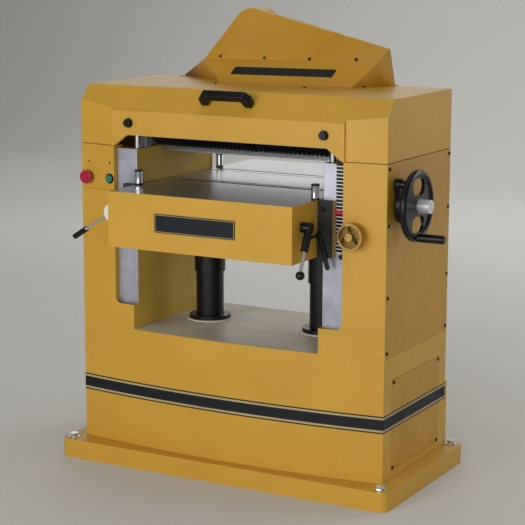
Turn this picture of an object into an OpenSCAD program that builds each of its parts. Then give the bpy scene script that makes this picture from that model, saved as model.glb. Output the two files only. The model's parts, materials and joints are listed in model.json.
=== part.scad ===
// Wide thickness planer: cabinet on a base plate, throat between two columns, rising table,
// cutterhead and feed rollers under a hinged hood with a dust chute.
// Frame: origin on the floor under the centre of the base plate, +X to the right seen from the
// front (infeed) side, +Y to the rear (outfeed) side, +Z up. Millimetres.

/* [Cabinet] */
// Width of the cabinet
cab_w = 1000; // [980:5:1020]
// Rear face of the cabinet
rear_y = 229; // [226:1:232]
// Front corner of the cabinet
front_y = -206; // [-208:1:-204]
// How far the bowed front stands out at the middle
bow = 36.5; // [30:0.5:40]
// Top of the lower cabinet, which is the floor of the throat
deck_z = 413; // [411:1:415]
// Top of the pillars
pillar_z = 955; // [954:1:956]
// Sheet metal thickness
sheet = 3; // [2.5:0.5:3]

/* [Base plate] */
// Length of the base plate
base_w = 1090; // [1080:1:1100]
// Depth of the base plate
base_d = 555; // [550:1:560]
// Height of the base plate
base_h = 57; // [57:1:58]
// Radius of the levelling bolts' shanks
bolt_r = 8; // [6:0.5:9]

/* [Throat and head] */
// Half the clear width between the columns
throat_x = 306; // [306:0.5:308]
// Outer edge of the machined ways
way_x = 375; // [374:0.5:376]
// Front face of the ways
way_y = -205; // [-206:0.5:-204]
// Bottom of the cutting circle
cut_z = 930; // [929:0.5:931]
// Cutterhead axis, front to rear
cutter_y = 75; // [73:1:77]
// Radius of the cutting circle
cutter_r = 50; // [48:0.5:50]
// Feed roller axis on the infeed side
infeed_y = -45; // [-46:0.5:-44]
// Feed roller axis on the outfeed side
outfeed_y = 186; // [185:0.5:186]
// Radius of the feed rollers
feed_r = 38; // [37:0.5:38]

/* [Table] */
// Height of the table's top face
table_z = 846; // [844:0.5:848]
// Half the width of the table
table_x = 297; // [296:0.5:298]
// Front face of the table's apron
apron_y = -371; // [-375:1:-367]
// Rear end of the table
table_rear_y = 470; // [460:1:480]
// Depth of the apron and side walls
apron_h = 160; // [158:1:162]
// Distance of each lift screw from the middle
screw_x = 195; // [193:1:197]

/* [Hood] */
// Top face of the hood
hood_z = 1128.4; // [1126:0.2:1130]
// Bottom edge of the hood
hood_z0 = 956.6; // [956.4:0.2:956.8]
// Radius of the dust port, outside
port_r = 63.5; // [60:0.5:63.5]
// Height of the dust port's axis
port_z = 1282; // [1278:1:1284]

/* [Controls] */
// Radius of the handwheel
wheel_r = 100; // [95:1:102]
// Handwheel axis, front to rear
wheel_y = -120; // [-121:1:-119]
// Height of the handwheel axis
wheel_z = 836; // [835:1:837]
// Radius of the feed speed wheel
speed_r = 38; // [34:1:40]

/* [Hidden] */

// Bowed front: an arc through both front corners and the middle of the bow
bow_r = (cab_w * cab_w / 4 + bow * bow) / (2 * bow);
bow_cy = front_y - bow + bow_r;
half_w = cab_w / 2;
wall = 4;               // cabinet wall
cable_r = 14;           // supply cable entry, low on the left side at the rear
cable_y = 206;
cable_z = 372;
gap = 0.2;              // gap between covers
run = 0.05;             // radial running clearance
column_top = 948;       // seat of the bearing blocks
bolt_x = 515;           // levelling bolts
bolt_y = 250;
panel_y = [-152, 182];  // side access panels
panel_zs = [78, 345];
panel_in = 2;           // depth of the recess that takes an access panel
skin_y = -200;          // rear edge of the front skins' side returns
control_z = 823;        // seam under the control panel
low_way_z = 486;        // the front cover runs in to the throat below this
cover_screw_ys = [-192, 218];
cover_screw_zs = [941, 785, 585, 428];
panel_screw_ys = [-141, 171];
panel_screw_zs = [336, 88.5];
screw_r = 2.5;

head_z = cut_z + cutter_r;      // cutterhead axis
feed_z = cut_z + feed_r - 1;    // feed roller axes, 1 mm below the cutting circle
block_x0 = throat_x + 2;        // bearing blocks
block_x1 = 342;
journal_r = 20;
bearing_r = 31;
roller_journal_r = 14;
kick_y = -135;                  // anti-kickback bar
kick_z = 985;
kick_r = 8;

belt_xs = [-424, -440, -456];   // drive belts
belt_w = 10;
cutter_pulley_r = 48;
motor_pulley_r = 70;
motor_z = 190;
motor_r = 100;
motor_x = [-380, -60];

pitch = 15.875;                 // chain pitch
feed_teeth = 12;
lift_teeth = 20;
chain_x = 449;                  // middle plane of the feed chain
chain_z = 386;                  // middle plane of the lift chain
out_yz = [10, 740];             // gearbox output shaft
lift_y = 25;                    // lift screws, front to rear
lift_shaft_x = 440;
miter_teeth = 20;
miter_m = 2.2;
miter_r = miter_teeth * miter_m / 2;
lift_screw_r = 16;

stop_x = -473;                  // buttons
start_x = -392;
button_z = 857;
speed_x = 408;                  // feed speed wheel
speed_z = 755;
wheel_x = 551;                  // middle plane of the handwheel
dial_x = [505, 521];
dial_r = 52;
knob_y = wheel_y - 40;          // lock knob on the dial's ear
knob_z = wheel_z + 62;
grip_y = wheel_y - 17;
grip_z = wheel_z - 85;

hinge_y = 237;                  // hood hinge axis
hinge_z = 953;
hinge_xs = [-420, 420];
panel_front = -228;             // flat front panel of the hood
panel_x = 380;
notch_x = 326;                  // throat opening in the hood
notch_z = 990;
slope_z = 1062;                 // foot of the hood's front slope, on the panel
lock_x = 318;
lock_z = 1026;
port_x = -152;

guide_x = 345;                  // outer edge of the table guides
guide_y = -222;
edge_x = 290;                   // edge rollers
edge_ys = [-221, 245];
bed_r = 20;                     // bed rollers
bed_ys = [-45, 195];
bed_proud = 0.3;
lever_x = -308;                 // bed roller lever pivot
lever_z = 775;
lever_y = -344;
lock_y = -324;                  // table lock lever pivot
lock_lever_z = 785;
gib_x = 306;                    // gib lock lever axis
gib_z = 750;

yellow = "#cf9f41";
shade_yellow = "#ad8234";
black = "#1b1b1d";
iron = "#8f9196";
bright = "#c9ccd2";
cream = "#d7d2bf";
brass = "#b3924e";

function bow_at(x) = bow_cy - sqrt(bow_r * bow_r - x * x);
function sprocket_r(n) = pitch / (2 * sin(180 / n));

// ---- shared shapes ----
module both() {
  children();
  mirror([1, 0, 0]) children();
}

module box(a, b) {
  translate(a) cube(b - a);
}

module along_x(x0, x1) {
  translate([x0, 0, 0]) rotate([90, 0, 90]) linear_extrude(x1 - x0) children();
}

module along_y(y0, y1) {
  translate([0, y1, 0]) rotate([90, 0, 0]) linear_extrude(y1 - y0) children();
}

module rod_x(x0, x1, y, z, r, n = 48) {
  translate([x0, y, z]) rotate([0, 90, 0]) cylinder(h = x1 - x0, r = r, $fn = n);
}

module rod_y(x, y0, y1, z, r, n = 48) {
  translate([x, y0, z]) rotate([-90, 0, 0]) cylinder(h = y1 - y0, r = r, $fn = n);
}

module rod_z(x, y, z0, z1, r, n = 48) {
  translate([x, y, z0]) cylinder(h = z1 - z0, r = r, $fn = n);
}

module rod_between(a, b, r) {
  d = b - a;
  translate(a)
    rotate([0, acos(d[2] / norm(d)), atan2(d[1], d[0])])
      cylinder(h = norm(d), r = r, $fn = 40);
}

module outline(t) {
  intersection() {
    translate([0, bow_cy]) circle(bow_r - t, $fn = 720);
    translate([-half_w + t, -400]) square([cab_w - 2 * t, 400 + rear_y - t]);
  }
}

module plan_wall(z0, z1, outer, inner) {
  translate([0, 0, z0]) linear_extrude(z1 - z0) difference() {
    outline(outer);
    outline(inner);
  }
}

module rounded_plate(w, d, r) {
  square([w - 2 * r, d], center = true);
  square([w, d - 2 * r], center = true);
  for (x = [-1, 1], y = [-1, 1])
    translate([x * (w / 2 - r), y * (d / 2 - r)]) circle(r, $fn = 48);
}

// The area inside a band that runs round two circles
module open_loop(p, rp, q, rq) {
  u = (q - p) / norm(q - p);
  v = [-u[1], u[0]];
  c = (rp - rq) / norm(q - p);
  s = sqrt(1 - c * c);
  translate(p) circle(rp, $fn = 72);
  translate(q) circle(rq, $fn = 72);
  polygon([
    p + rp * (c * u + s * v), q + rq * (c * u + s * v),
    q + rq * (c * u - s * v), p + rp * (c * u - s * v)
  ]);
}

// The area inside a band that runs round equal circles at three points
module three_loop(points, r) {
  hull()
    for (p = points)
      translate(p) circle(r, $fn = 60);
}

// Roller chain round three equal sprockets: two link bands, and pins on the straight runs
module chain(points, r) {
  for (z = [-4.5, 3])
    translate([0, 0, z]) linear_extrude(1.5) difference() {
      three_loop(points, r + 4);
      three_loop(points, r - 4);
    }
  for (i = [0:2]) {
    p = points[i];
    q = points[(i + 1) % 3];
    u = (q - p) / norm(q - p);
    v = [u[1], -u[0]];
    count = floor((norm(q - p) - 2 * r) / pitch);
    start = (norm(q - p) - count * pitch) / 2;
    for (k = [0:count])
      translate(concat(p + u * (start + k * pitch) + v * r, -4))
        cylinder(h = 8, r = 2.5, $fn = 16);
  }
}

module sprocket_shape(n) {
  r = sprocket_r(n);
  circle(r - 4, $fn = 72);
  for (i = [0:n - 1])
    rotate(i * 360 / n)
      polygon([[r - 5, -4.5], [r + 1.5, -1.8], [r + 1.5, 1.8], [r - 5, 4.5]]);
}

// Straight bevel gear for a right-angle pair: big end at z = 0, apex up at z = miter_r
module miter_gear(turn) {
  tip = miter_r + 0.85 * miter_m;
  root = miter_r - 1.15 * miter_m;
  face = 8;
  rotate(turn)
    linear_extrude(face, scale = (miter_r - face) / miter_r)
      polygon([
        for (i = [0:miter_teeth - 1], k = [[root, -6], [tip, -1.8], [tip, 1.8], [root, 6]])
          let (a = i * 360 / miter_teeth + k[1]) [k[0] * cos(a), k[0] * sin(a)]
      ]);
}

module cover_screw(depth = 9) {
  difference() {
    union() {
      cylinder(h = 2.6, r = 5.5, $fn = 32);
      translate([0, 0, -depth]) cylinder(h = depth + 0.5, r = screw_r, $fn = 24);
    }
    translate([0, 0, 1]) cylinder(h = 3, r = 2.6, $fn = 6);
  }
}

// ---- base and cabinet ----
module base_plate() {
  rim = 14;
  top = 20;
  color(yellow) difference() {
    linear_extrude(base_h) rounded_plate(base_w, base_d, 25);
    translate([0, 0, -1]) linear_extrude(base_h - top + 1) difference() {
      square([base_w - 2 * rim, base_d - 2 * rim], center = true);
      for (x = [-bolt_x, bolt_x], y = [-bolt_y, bolt_y])
        translate([x, y]) circle(24, $fn = 48);
      for (x = [-180, 180])
        translate([x, 0]) square([12, base_d], center = true);
      square([base_w, 12], center = true);
    }
    for (x = [-bolt_x, bolt_x], y = [-bolt_y, bolt_y])
      rod_z(x, y, -1, base_h + 1, bolt_r + 0.2);
  }
}

module levelling_bolts() {
  color(bright)
    for (x = [-bolt_x, bolt_x], y = [-bolt_y, bolt_y]) {
      rod_z(x, y, 1, base_h + 12, bolt_r);
      rod_z(x, y, base_h, base_h + 3, 17);
      rod_z(x, y, base_h + 3, base_h + 13, 14, 6);
    }
}

module lower_cabinet() {
  ledge = 24;
  inset = 17;
  color(yellow) difference() {
    union() {
      plan_wall(base_h, deck_z, 0, wall);
      plan_wall(deck_z - 12, deck_z - 8, wall - 0.5, ledge);
      plan_wall(base_h, base_h + 4, wall - 0.5, ledge);
    }
    box([-450, 200, 90], [450, 240, 240]);
    rod_x(-half_w - 1, -half_w + wall + 1, cable_y, cable_z, cable_r);
    both() {
      box([half_w - panel_in, panel_y[0], panel_zs[0]], [half_w + 1, panel_y[1], panel_zs[1]]);
      box([450, panel_y[0] + inset, panel_zs[0] + inset], [510, panel_y[1] - inset, panel_zs[1] - inset]);
      for (y = panel_screw_ys, z = panel_screw_zs)
        rod_x(480, 510, y, z, screw_r + 0.1, 24);
    }
  }
}

module deck_plate() {
  color(cream) difference() {
    translate([0, 0, deck_z - 8]) linear_extrude(8) outline(wall + gap);
    for (x = [-screw_x, screw_x])
      rod_z(x, lift_y, deck_z - 9, deck_z + 1, lift_screw_r + 2);
    rod_z(lift_shaft_x, wheel_y, deck_z - 9, deck_z + 1, 12);
    box([-476, -20, deck_z - 9], [-404, 170, deck_z + 1]);
  }
}

module rear_cover() {
  depth = 18;
  zs = [62, 255];
  x = half_w - 2;
  slots = 9;
  slot_pitch = 60;
  color(yellow) difference() {
    box([-x, rear_y, zs[0]], [x, rear_y + depth, zs[1]]);
    box([-x + sheet, rear_y - 1, zs[0] + sheet], [x - sheet, rear_y + depth - sheet, zs[1] - sheet]);
    for (i = [0:slots - 1], z = [110, 150, 190])
      box([(i - (slots - 1) / 2) * slot_pitch - 20, rear_y, z],
          [(i - (slots - 1) / 2) * slot_pitch + 20, rear_y + depth + 1, z + 6]);
  }
}

module access_panels() {
  color(shade_yellow) both() difference() {
    box([half_w - panel_in, panel_y[0] + 0.5, panel_zs[0] + 0.5],
        [half_w, panel_y[1] - 0.5, panel_zs[1] - 0.5]);
    for (y = panel_screw_ys, z = panel_screw_zs)
      rod_x(490, 510, y, z, screw_r + 0.1, 24);
  }
}

module cover_screws() {
  color(black) both() {
    for (y = cover_screw_ys, z = cover_screw_zs)
      translate([half_w, y, z]) rotate([0, 90, 0]) cover_screw();
    for (y = panel_screw_ys, z = panel_screw_zs)
      translate([half_w, y, z]) rotate([0, 90, 0]) cover_screw();
  }
}

// ---- columns and their covers ----
module columns() {
  web = 24;
  way_d = 40;
  foot = 20;
  bumper_y = -177;
  color(shade_yellow) both() {
    box([throat_x, way_y, deck_z], [throat_x + web, rear_y - 0.5, column_top]);
    box([throat_x, way_y, deck_z], [way_x, way_y + way_d, column_top]);
    box([throat_x, rear_y - 30, deck_z], [way_x, rear_y - 0.5, column_top]);
    box([throat_x, way_y, deck_z], [way_x, rear_y - 0.5, deck_z + foot]);
    box([throat_x, way_y, column_top - foot], [block_x1 + 2, rear_y - 0.5, column_top]);
    rod_z(321, bumper_y, column_top - 1, 985, 9, 32);
  }
}

// Front skin of one pillar between two heights, from x0 to the outer corner
module front_skin(x0, z0, z1) {
  intersection() {
    plan_wall(z0, z1, 0, sheet);
    box([x0, -400, z0 - 1], [half_w + 1, skin_y, z1 + 1]);
  }
}

// Rounded lower corner of the opening in front of the way
module way_corner() {
  r = 20;
  x = way_x + gap;
  intersection() {
    plan_wall(low_way_z - 1, low_way_z + r, 0, sheet);
    along_y(-300, skin_y) difference() {
      translate([x - r, low_way_z - 1]) square([r + 1, r + 1]);
      translate([x - r, low_way_z + r]) circle(r, $fn = 64);
    }
  }
}

module pillar_cover(z1) {
  z0 = deck_z + gap;
  front_skin(way_x + gap, z0, z1);
  front_skin(throat_x, z0, low_way_z);
  way_corner();
  box([throat_x, bow_at(throat_x) + 1, z0], [throat_x + sheet, way_y - gap, low_way_z]);
  box([way_x + gap, bow_at(way_x) + 1, z0], [way_x + gap + sheet, way_y + 30, z1]);
}

module pillar_rear(z1) {
  box([way_x + gap, rear_y - sheet, deck_z + gap], [half_w - sheet - gap, rear_y, z1]);
}

module pillar_covers() {
  color(yellow) {
    difference() {
      pillar_cover(pillar_z);
      rod_y(speed_x, -300, -150, speed_z, 7);
    }
    mirror([1, 0, 0]) pillar_cover(control_z);
    both() pillar_rear(pillar_z);
  }
}

module control_panel() {
  color(yellow) difference() {
    mirror([1, 0, 0]) {
      front_skin(way_x + gap, control_z + 0.6, pillar_z);
      box([way_x + gap, bow_at(way_x) + 1, control_z + 0.6],
          [way_x + gap + sheet, way_y + 30, pillar_z]);
    }
    for (x = [stop_x, start_x]) {
      rod_y(x, -300, -190, button_z, 11 + run);
      rod_y(x, -300, -190, button_z + 46, 3, 24);
    }
  }
}

module side_covers() {
  color(shade_yellow) difference() {
    both() difference() {
      box([half_w - sheet, skin_y + gap, deck_z + gap], [half_w, rear_y, pillar_z]);
      for (y = cover_screw_ys, z = cover_screw_zs)
        rod_x(490, 510, y, z, screw_r + 0.1, 24);
    }
    rod_x(480, 510, wheel_y, wheel_z, 20);
  }
}

module way_scale() {
  color("white") difference() {
    box([359, way_y - 1.2, 700], [374.5, way_y - 0.02, column_top]);
    for (i = [0:23])
      box([361, way_y - 2, 708 + i * 10], [i % 5 == 0 ? 372 : 367, way_y - 0.9, 710 + i * 10]);
  }
}

// ---- head ----
module bearing_blocks() {
  color(iron) both() difference() {
    union() {
      box([block_x0, cutter_y - 45, column_top + gap], [block_x1, cutter_y + 45, head_z + 30]);
      rod_x(block_x0, block_x1, cutter_y, head_z, 52, 96);
      for (y = [infeed_y, outfeed_y])
        box([block_x0, y - 28, column_top + gap], [block_x1, y + 28, feed_z + 32]);
      box([block_x0, kick_y - 14, column_top + gap], [block_x1, kick_y + 14, kick_z + 14]);
    }
    box([300, -200, 900], [400, 200, column_top + gap]);
    rod_x(300, 350, cutter_y, head_z, bearing_r + 0.02, 96);
    for (y = [infeed_y, outfeed_y])
      rod_x(300, 350, y, feed_z, roller_journal_r + run);
    rod_x(300, 350, kick_y, kick_z, kick_r + run);
  }
}

module cutterhead_bearings() {
  color(bright) both() difference() {
    rod_x(block_x0 + 4, block_x1 - 4, cutter_y, head_z, bearing_r, 96);
    rod_x(300, 350, cutter_y, head_z, journal_r + run);
  }
}

module roller_springs() {
  turns = 5;
  height = 28;
  color(bright) both()
    for (y = [infeed_y, outfeed_y])
      translate([325, y, feed_z + 32 + gap])
        linear_extrude(height, twist = -360 * turns, slices = 10 * turns)
          translate([9, 0]) circle(2, $fn = 6);
}

// Bar across the head with a thin lip reaching down beside the cutting circle
module head_bar(y0, y1, lip_y0, lip_y1) {
  box([-block_x1 + 2, y0, column_top + gap], [block_x1 - 2, y1, head_z + 30]);
  box([-throat_x + 4, lip_y0, cut_z + 1], [throat_x - 4, lip_y1, column_top + 2]);
}

module chip_breaker() {
  color(iron) head_bar(0, 20, 6, 20);
}

module pressure_bar() {
  color(iron) head_bar(cutter_y + 53, cutter_y + 69, cutter_y + 53, cutter_y + 65);
}

module kickback_fingers() {
  finger_pitch = 14;
  count = 42;
  color(black) {
    rod_x(-block_x1 + 2, block_x1 - 2, kick_y, kick_z, kick_r);
    for (i = [0:count - 1])
      along_x((i - (count - 1) / 2) * finger_pitch - 4.5, (i - (count - 1) / 2) * finger_pitch + 4.5)
        translate([kick_y, kick_z]) {
          circle(15, $fn = 40);
          polygon([[-14, 0], [12, -31.5], [20, -25], [14, 0]]);
        }
  }
}

module cutterhead() {
  color(bright) {
    difference() {
      union() {
        rod_x(-throat_x + 6, throat_x - 6, cutter_y, head_z, cutter_r - 2, 96);
        rod_x(-472, 400, cutter_y, head_z, journal_r);
        rod_x(-467, -413, cutter_y, head_z, cutter_pulley_r, 96);
      }
      for (x = belt_xs)
        along_x(x - belt_w / 2 - 0.5, x + belt_w / 2 + 0.5)
          translate([cutter_y, head_z]) difference() {
            circle(cutter_pulley_r + 2, $fn = 96);
            circle(cutter_pulley_r - 10, $fn = 96);
          }
      for (a = [0, 120, 240])
        translate([0, cutter_y, head_z]) rotate([a, 0, 0])
          box([-throat_x, -9, cutter_r - 14], [throat_x, 5, cutter_r]);
    }
    for (a = [0, 120, 240])
      translate([0, cutter_y, head_z]) rotate([a, 0, 0])
        box([-throat_x + 8, -2, cutter_r - 15], [throat_x - 8, 3, cutter_r - 0.2]);
  }
}

module roller_ends(y, x0) {
  rod_x(-block_x1 + 1, x0, y, feed_z, roller_journal_r);
  along_x(chain_x - 2, chain_x + 2) translate([y, feed_z]) sprocket_shape(feed_teeth);
  rod_x(chain_x - 2, chain_x + 6, y, feed_z, 22);
}

module infeed_roller() {
  flutes = 40;
  color(iron) {
    roller_ends(infeed_y, chain_x + 6);
    along_x(-throat_x + 6, throat_x - 6) translate([infeed_y, feed_z]) difference() {
      circle(feed_r, $fn = 120);
      for (i = [0:flutes - 1])
        rotate(i * 360 / flutes) translate([feed_r, 0]) circle(2, $fn = 16);
    }
  }
}

module outfeed_roller() {
  color(iron) {
    roller_ends(outfeed_y, chain_x + 6);
    rod_x(-throat_x + 6, throat_x - 6, outfeed_y, feed_z, feed_r, 96);
  }
}

// ---- drives ----
module motor() {
  feet_x = [-330, -110];
  fins = 18;
  color("#3c4a55") difference() {
    union() {
      rod_x(motor_x[0] + 20, motor_x[1], cutter_y, motor_z, motor_r - 12, 96);
      rod_x(motor_x[0], motor_x[0] + 24, cutter_y, motor_z, motor_r, 96);
      rod_x(motor_x[1] - 60, motor_x[1], cutter_y, motor_z, motor_r - 2, 96);
      along_x(motor_x[0] + 30, motor_x[1] - 70) translate([cutter_y, motor_z])
        for (i = [0:fins - 1])
          rotate(i * 360 / fins + 10) translate([motor_r - 14, -1.5]) square([12, 3]);
      box([feet_x[0], cutter_y - 90, base_h + gap], [feet_x[1], cutter_y + 90, base_h + 14]);
      for (y = [-60, 50])
        box([feet_x[0], cutter_y + y, base_h + 10], [feet_x[1], cutter_y + y + 10, motor_z - 55]);
      box([-270, cutter_y - 40, motor_z + 60], [-170, cutter_y + 40, motor_z + 125]);
    }
    rod_x(motor_x[0] - 1, motor_x[0] + 60, cutter_y, motor_z, 19 + run);
  }
}

module motor_pulley() {
  color(iron) difference() {
    union() {
      rod_x(-470, motor_x[0] + 55, cutter_y, motor_z, 19);
      rod_x(-467, -413, cutter_y, motor_z, motor_pulley_r, 96);
    }
    for (x = belt_xs)
      along_x(x - belt_w / 2 - 0.5, x + belt_w / 2 + 0.5)
        translate([cutter_y, motor_z]) difference() {
          circle(motor_pulley_r + 2, $fn = 96);
          circle(motor_pulley_r - 10, $fn = 96);
        }
  }
}

module drive_belts() {
  top = [cutter_y, head_z];
  low = [cutter_y, motor_z];
  color(black)
    for (x = belt_xs)
      along_x(x - belt_w / 2, x + belt_w / 2) difference() {
        open_loop(low, motor_pulley_r - 1, top, cutter_pulley_r - 1);
        open_loop(low, motor_pulley_r - 9, top, cutter_pulley_r - 9);
      }
}

module gearbox() {
  xs = [388, 440];
  ys = [-25, 125];
  zs = [680, 1030];
  feet_z = [700, 880];
  color("#4a5a4e") difference() {
    union() {
      box([xs[0], ys[0], zs[0]], [xs[1], ys[1], zs[1]]);
      for (z = feet_z)
        box([throat_x + 24, ys[0] + 20, z], [xs[0] + 1, ys[1] - 20, z + 12]);
    }
    box([xs[0] + 7, ys[0] + 7, zs[0] + 7], [xs[1] - 7, ys[1] - 7, zs[1] - 7]);
    rod_x(xs[0] - 1, xs[0] + 20, cutter_y, head_z, journal_r + run);
    rod_x(xs[1] - 20, xs[1] + 1, out_yz[0], out_yz[1], 12 + run);
    rod_y(speed_x, ys[0] - 1, ys[0] + 20, speed_z, 6 + run);
  }
}

module gearbox_sprocket() {
  color(iron) {
    rod_x(436, chain_x + 6, out_yz[0], out_yz[1], 12);
    along_x(chain_x - 2, chain_x + 2) translate(out_yz) sprocket_shape(feed_teeth);
  }
}

module feed_chain() {
  points = [out_yz, [outfeed_y, feed_z], [infeed_y, feed_z]];
  color(black) translate([chain_x, 0, 0]) rotate([90, 0, 90])
    chain(points, sprocket_r(feed_teeth));
}

module lift_chain() {
  points = [[lift_shaft_x, wheel_y], [screw_x, lift_y], [-screw_x, lift_y]];
  color(black) translate([0, 0, chain_z]) chain(points, sprocket_r(lift_teeth));
}

module lift_shaft() {
  gear_z = wheel_z - miter_r;
  color(iron) translate([lift_shaft_x, wheel_y, 0]) {
    rod_z(0, 0, 372, gear_z + 1, 9);
    rod_z(0, 0, gear_z - 9, gear_z, 15);
    translate([0, 0, gear_z]) miter_gear(0);
    translate([0, 0, chain_z - 2]) linear_extrude(4) sprocket_shape(lift_teeth);
  }
}

module lift_screw(x) {
  color(bright) translate([x, lift_y, 0]) {
    rod_z(0, 0, 372, 660, lift_screw_r);
    rod_z(0, 0, 391, deck_z - 8.5, 24);
    translate([0, 0, chain_z - 2]) linear_extrude(4) sprocket_shape(lift_teeth);
  }
}

module left_lift_screw() {
  lift_screw(-screw_x);
}

module right_lift_screw() {
  lift_screw(screw_x);
}

module column_sleeves() {
  color(black)
    for (x = [-screw_x, screw_x])
      difference() {
        union() {
          rod_z(x, lift_y, deck_z, 680, 42, 72);
          rod_z(x, lift_y, deck_z, deck_z + 14, 62.5, 72);
        }
        rod_z(x, lift_y, deck_z - 1, 681, 30, 72);
      }
}

module lift_tubes() {
  seat = 806;
  color(black)
    for (x = [-screw_x, screw_x]) {
      rod_z(x, lift_y, seat - 12, seat, 60, 72);
      difference() {
        rod_z(x, lift_y, 560, seat - 6, 47, 72);
        rod_z(x, lift_y, 559, seat - 12, 42.5, 72);
      }
      difference() {
        rod_z(x, lift_y, 535, seat - 6, 28, 72);
        rod_z(x, lift_y, 575, seat - 12, 20, 72);
        rod_z(x, lift_y, 534, 576, lift_screw_r + run, 72);
      }
    }
}

// ---- table and what rides on it ----
module table() {
  plate = 26;
  side = 20;
  bottom = table_z - apron_h;
  full_y = 205;             // side walls are full depth up to here
  shallow = 70;
  pad_z = 806;
  color(yellow) difference() {
    union() {
      box([-table_x, apron_y, table_z - plate], [table_x, table_rear_y, table_z]);
      box([-table_x, apron_y, bottom], [table_x, apron_y + side, table_z]);
      both() {
        box([table_x - side, apron_y, bottom], [table_x, full_y, table_z]);
        box([table_x - side, apron_y, table_z - shallow], [table_x, table_rear_y, table_z]);
      }
      for (y = [-200, 90, table_rear_y - side])
        box([-table_x, y, table_z - shallow], [table_x, y + side, table_z]);
      for (x = [-screw_x, screw_x])
        rod_z(x, lift_y, pad_z, table_z - 1, 70, 72);
      box([lever_x - 8, lever_y + 8, lever_z - 12], [-table_x + 1, lever_y + 18, lever_z + 12]);
      rod_y(lever_x, lever_y - 8, lever_y + 9, lever_z, 5);
      rod_x(table_x - 1, table_x + 30, lock_y, lock_lever_z, 6);
    }
    for (y = bed_ys) {
      box([-table_x + side, y - bed_r - 1, table_z - bed_r], [table_x - side, y + bed_r + 1, table_z + 1]);
      rod_x(-table_x + side, table_x - side, y, table_z - bed_r + bed_proud, bed_r + 1, 96);
      rod_x(-table_x + 6, table_x - 6, y, table_z - bed_r + bed_proud, 8 + run);
    }
    for (x = [-edge_x, edge_x], y = edge_ys)
      rod_z(x, y, table_z - 30, table_z + 1, 5 + run);
  }
}

module bed_roller(y) {
  color(bright) {
    rod_x(-274, 274, y, table_z - bed_r + bed_proud, bed_r, 96);
    rod_x(-290, 290, y, table_z - bed_r + bed_proud, 8);
  }
}

module front_bed_roller() {
  bed_roller(bed_ys[0]);
}

module rear_bed_roller() {
  bed_roller(bed_ys[1]);
}

module edge_roller(x, y) {
  color(bright) difference() {
    union() {
      rod_z(x, y, table_z + 1, table_z + 44, 12);
      rod_z(x, y, table_z - 28, table_z + 2, 5);
    }
    for (z = [table_z + 5, table_z + 39])
      translate([x, y, z]) difference() {
        cylinder(h = 1.6, r = 13, $fn = 48);
        translate([0, 0, -1]) cylinder(h = 4, r = 11.2, $fn = 48);
      }
  }
}

module edge_roller_front_left() {
  edge_roller(-edge_x, edge_ys[0]);
}

module edge_roller_front_right() {
  edge_roller(edge_x, edge_ys[0]);
}

module edge_roller_rear_left() {
  edge_roller(-edge_x, edge_ys[1]);
}

module edge_roller_rear_right() {
  edge_roller(edge_x, edge_ys[1]);
}

module table_guides() {
  bottom = table_z - apron_h;
  color("#3a3226") difference() {
    both() {
      box([table_x, guide_y, bottom], [guide_x, way_y - run, table_z]);
      box([table_x, guide_y, bottom], [throat_x - run, guide_y + 120, table_z]);
    }
    both() {
      rod_y(316.5, guide_y - 1, guide_y + 8, 821, 6);
      rod_y(316.5, guide_y - 1, guide_y + 8, 708, 6);
    }
    rod_y(gib_x, guide_y - 1, guide_y + 8, gib_z, 4 + run);
  }
}

module depth_pointer() {
  z = 814;
  color("red") {
    box([guide_x, way_y - 9, z - 5], [guide_x + 6, way_y - 3, z + 5]);
    along_y(way_y - 6, way_y - 3)
      polygon([[guide_x, z - 7], [guide_x + 14, z - 5], [guide_x + 27, z], [guide_x + 14, z + 5],
               [guide_x, z + 7]]);
  }
}

module bed_roller_lever() {
  elbow = [lever_x - 82, lever_y, lever_z - 49];
  tip = [lever_x - 126, lever_y, lever_z - 77];
  color(bright) difference() {
    union() {
      rod_y(lever_x, lever_y - 7, lever_y + 7.5, lever_z, 10.5);
      rod_between([lever_x, lever_y, lever_z], elbow, 4);
      rod_between(elbow, tip, 8);
    }
    rod_y(lever_x, lever_y - 10, lever_y + 10, lever_z, 5 + run);
  }
}

module table_lock_lever() {
  x = table_x + 27;
  knee = [x, lock_y - 27, lock_lever_z - 62];
  neck = [x, lock_y - 45, lock_lever_z - 113];
  color(black) {
    difference() {
      union() {
        rod_x(table_x + 6, x + 8, lock_y, lock_lever_z, 15);
        rod_between([x, lock_y, lock_lever_z], knee, 11);
      }
      rod_x(table_x, table_x + 30 + run, lock_y, lock_lever_z, 6 + run);
    }
    rod_between(knee, neck, 5);
    translate(neck + [0, -4, -10]) sphere(12.5, $fn = 48);
  }
}

module gib_lock_lever() {
  bar_y = guide_y - 12;
  color(black) {
    rod_y(gib_x, lock_y + 6, guide_y + 6, gib_z, 4);
    along_y(bar_y, bar_y + 8) open_loop([gib_x, gib_z], 8, [gib_x + 28, gib_z - 90], 6);
  }
}

// ---- hood ----
module front_profile(z1) {
  polygon([
    [-panel_x, hood_z0], [-panel_x + 8, hood_z0], [-notch_x, notch_z], [notch_x, notch_z],
    [panel_x - 8, hood_z0], [panel_x, hood_z0], [panel_x, z1], [-panel_x, z1]
  ]);
}

// Everything under the hood's 45 degree front slope, with the slope moved in by t
module under_slope(t) {
  foot = hood_z0 - 60;
  line = slope_z - panel_front - t * sqrt(2);
  along_x(-half_w - 1, half_w + 1)
    polygon([[foot - line, foot], [0, line], [400, line], [400, foot]]);
}

// The hood's solid outside, moved in by t on every face but the bottom one
module hood_block(t) {
  drop = t > 0 ? 1 : 0;
  intersection() {
    translate([0, 0, hood_z0 - drop])
      linear_extrude(hood_z - hood_z0 - t + drop) intersection() {
        outline(t);
        translate([-half_w, bow_at(panel_x) + t]) square([cab_w, 600]);
      }
    under_slope(t);
  }
}

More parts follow.
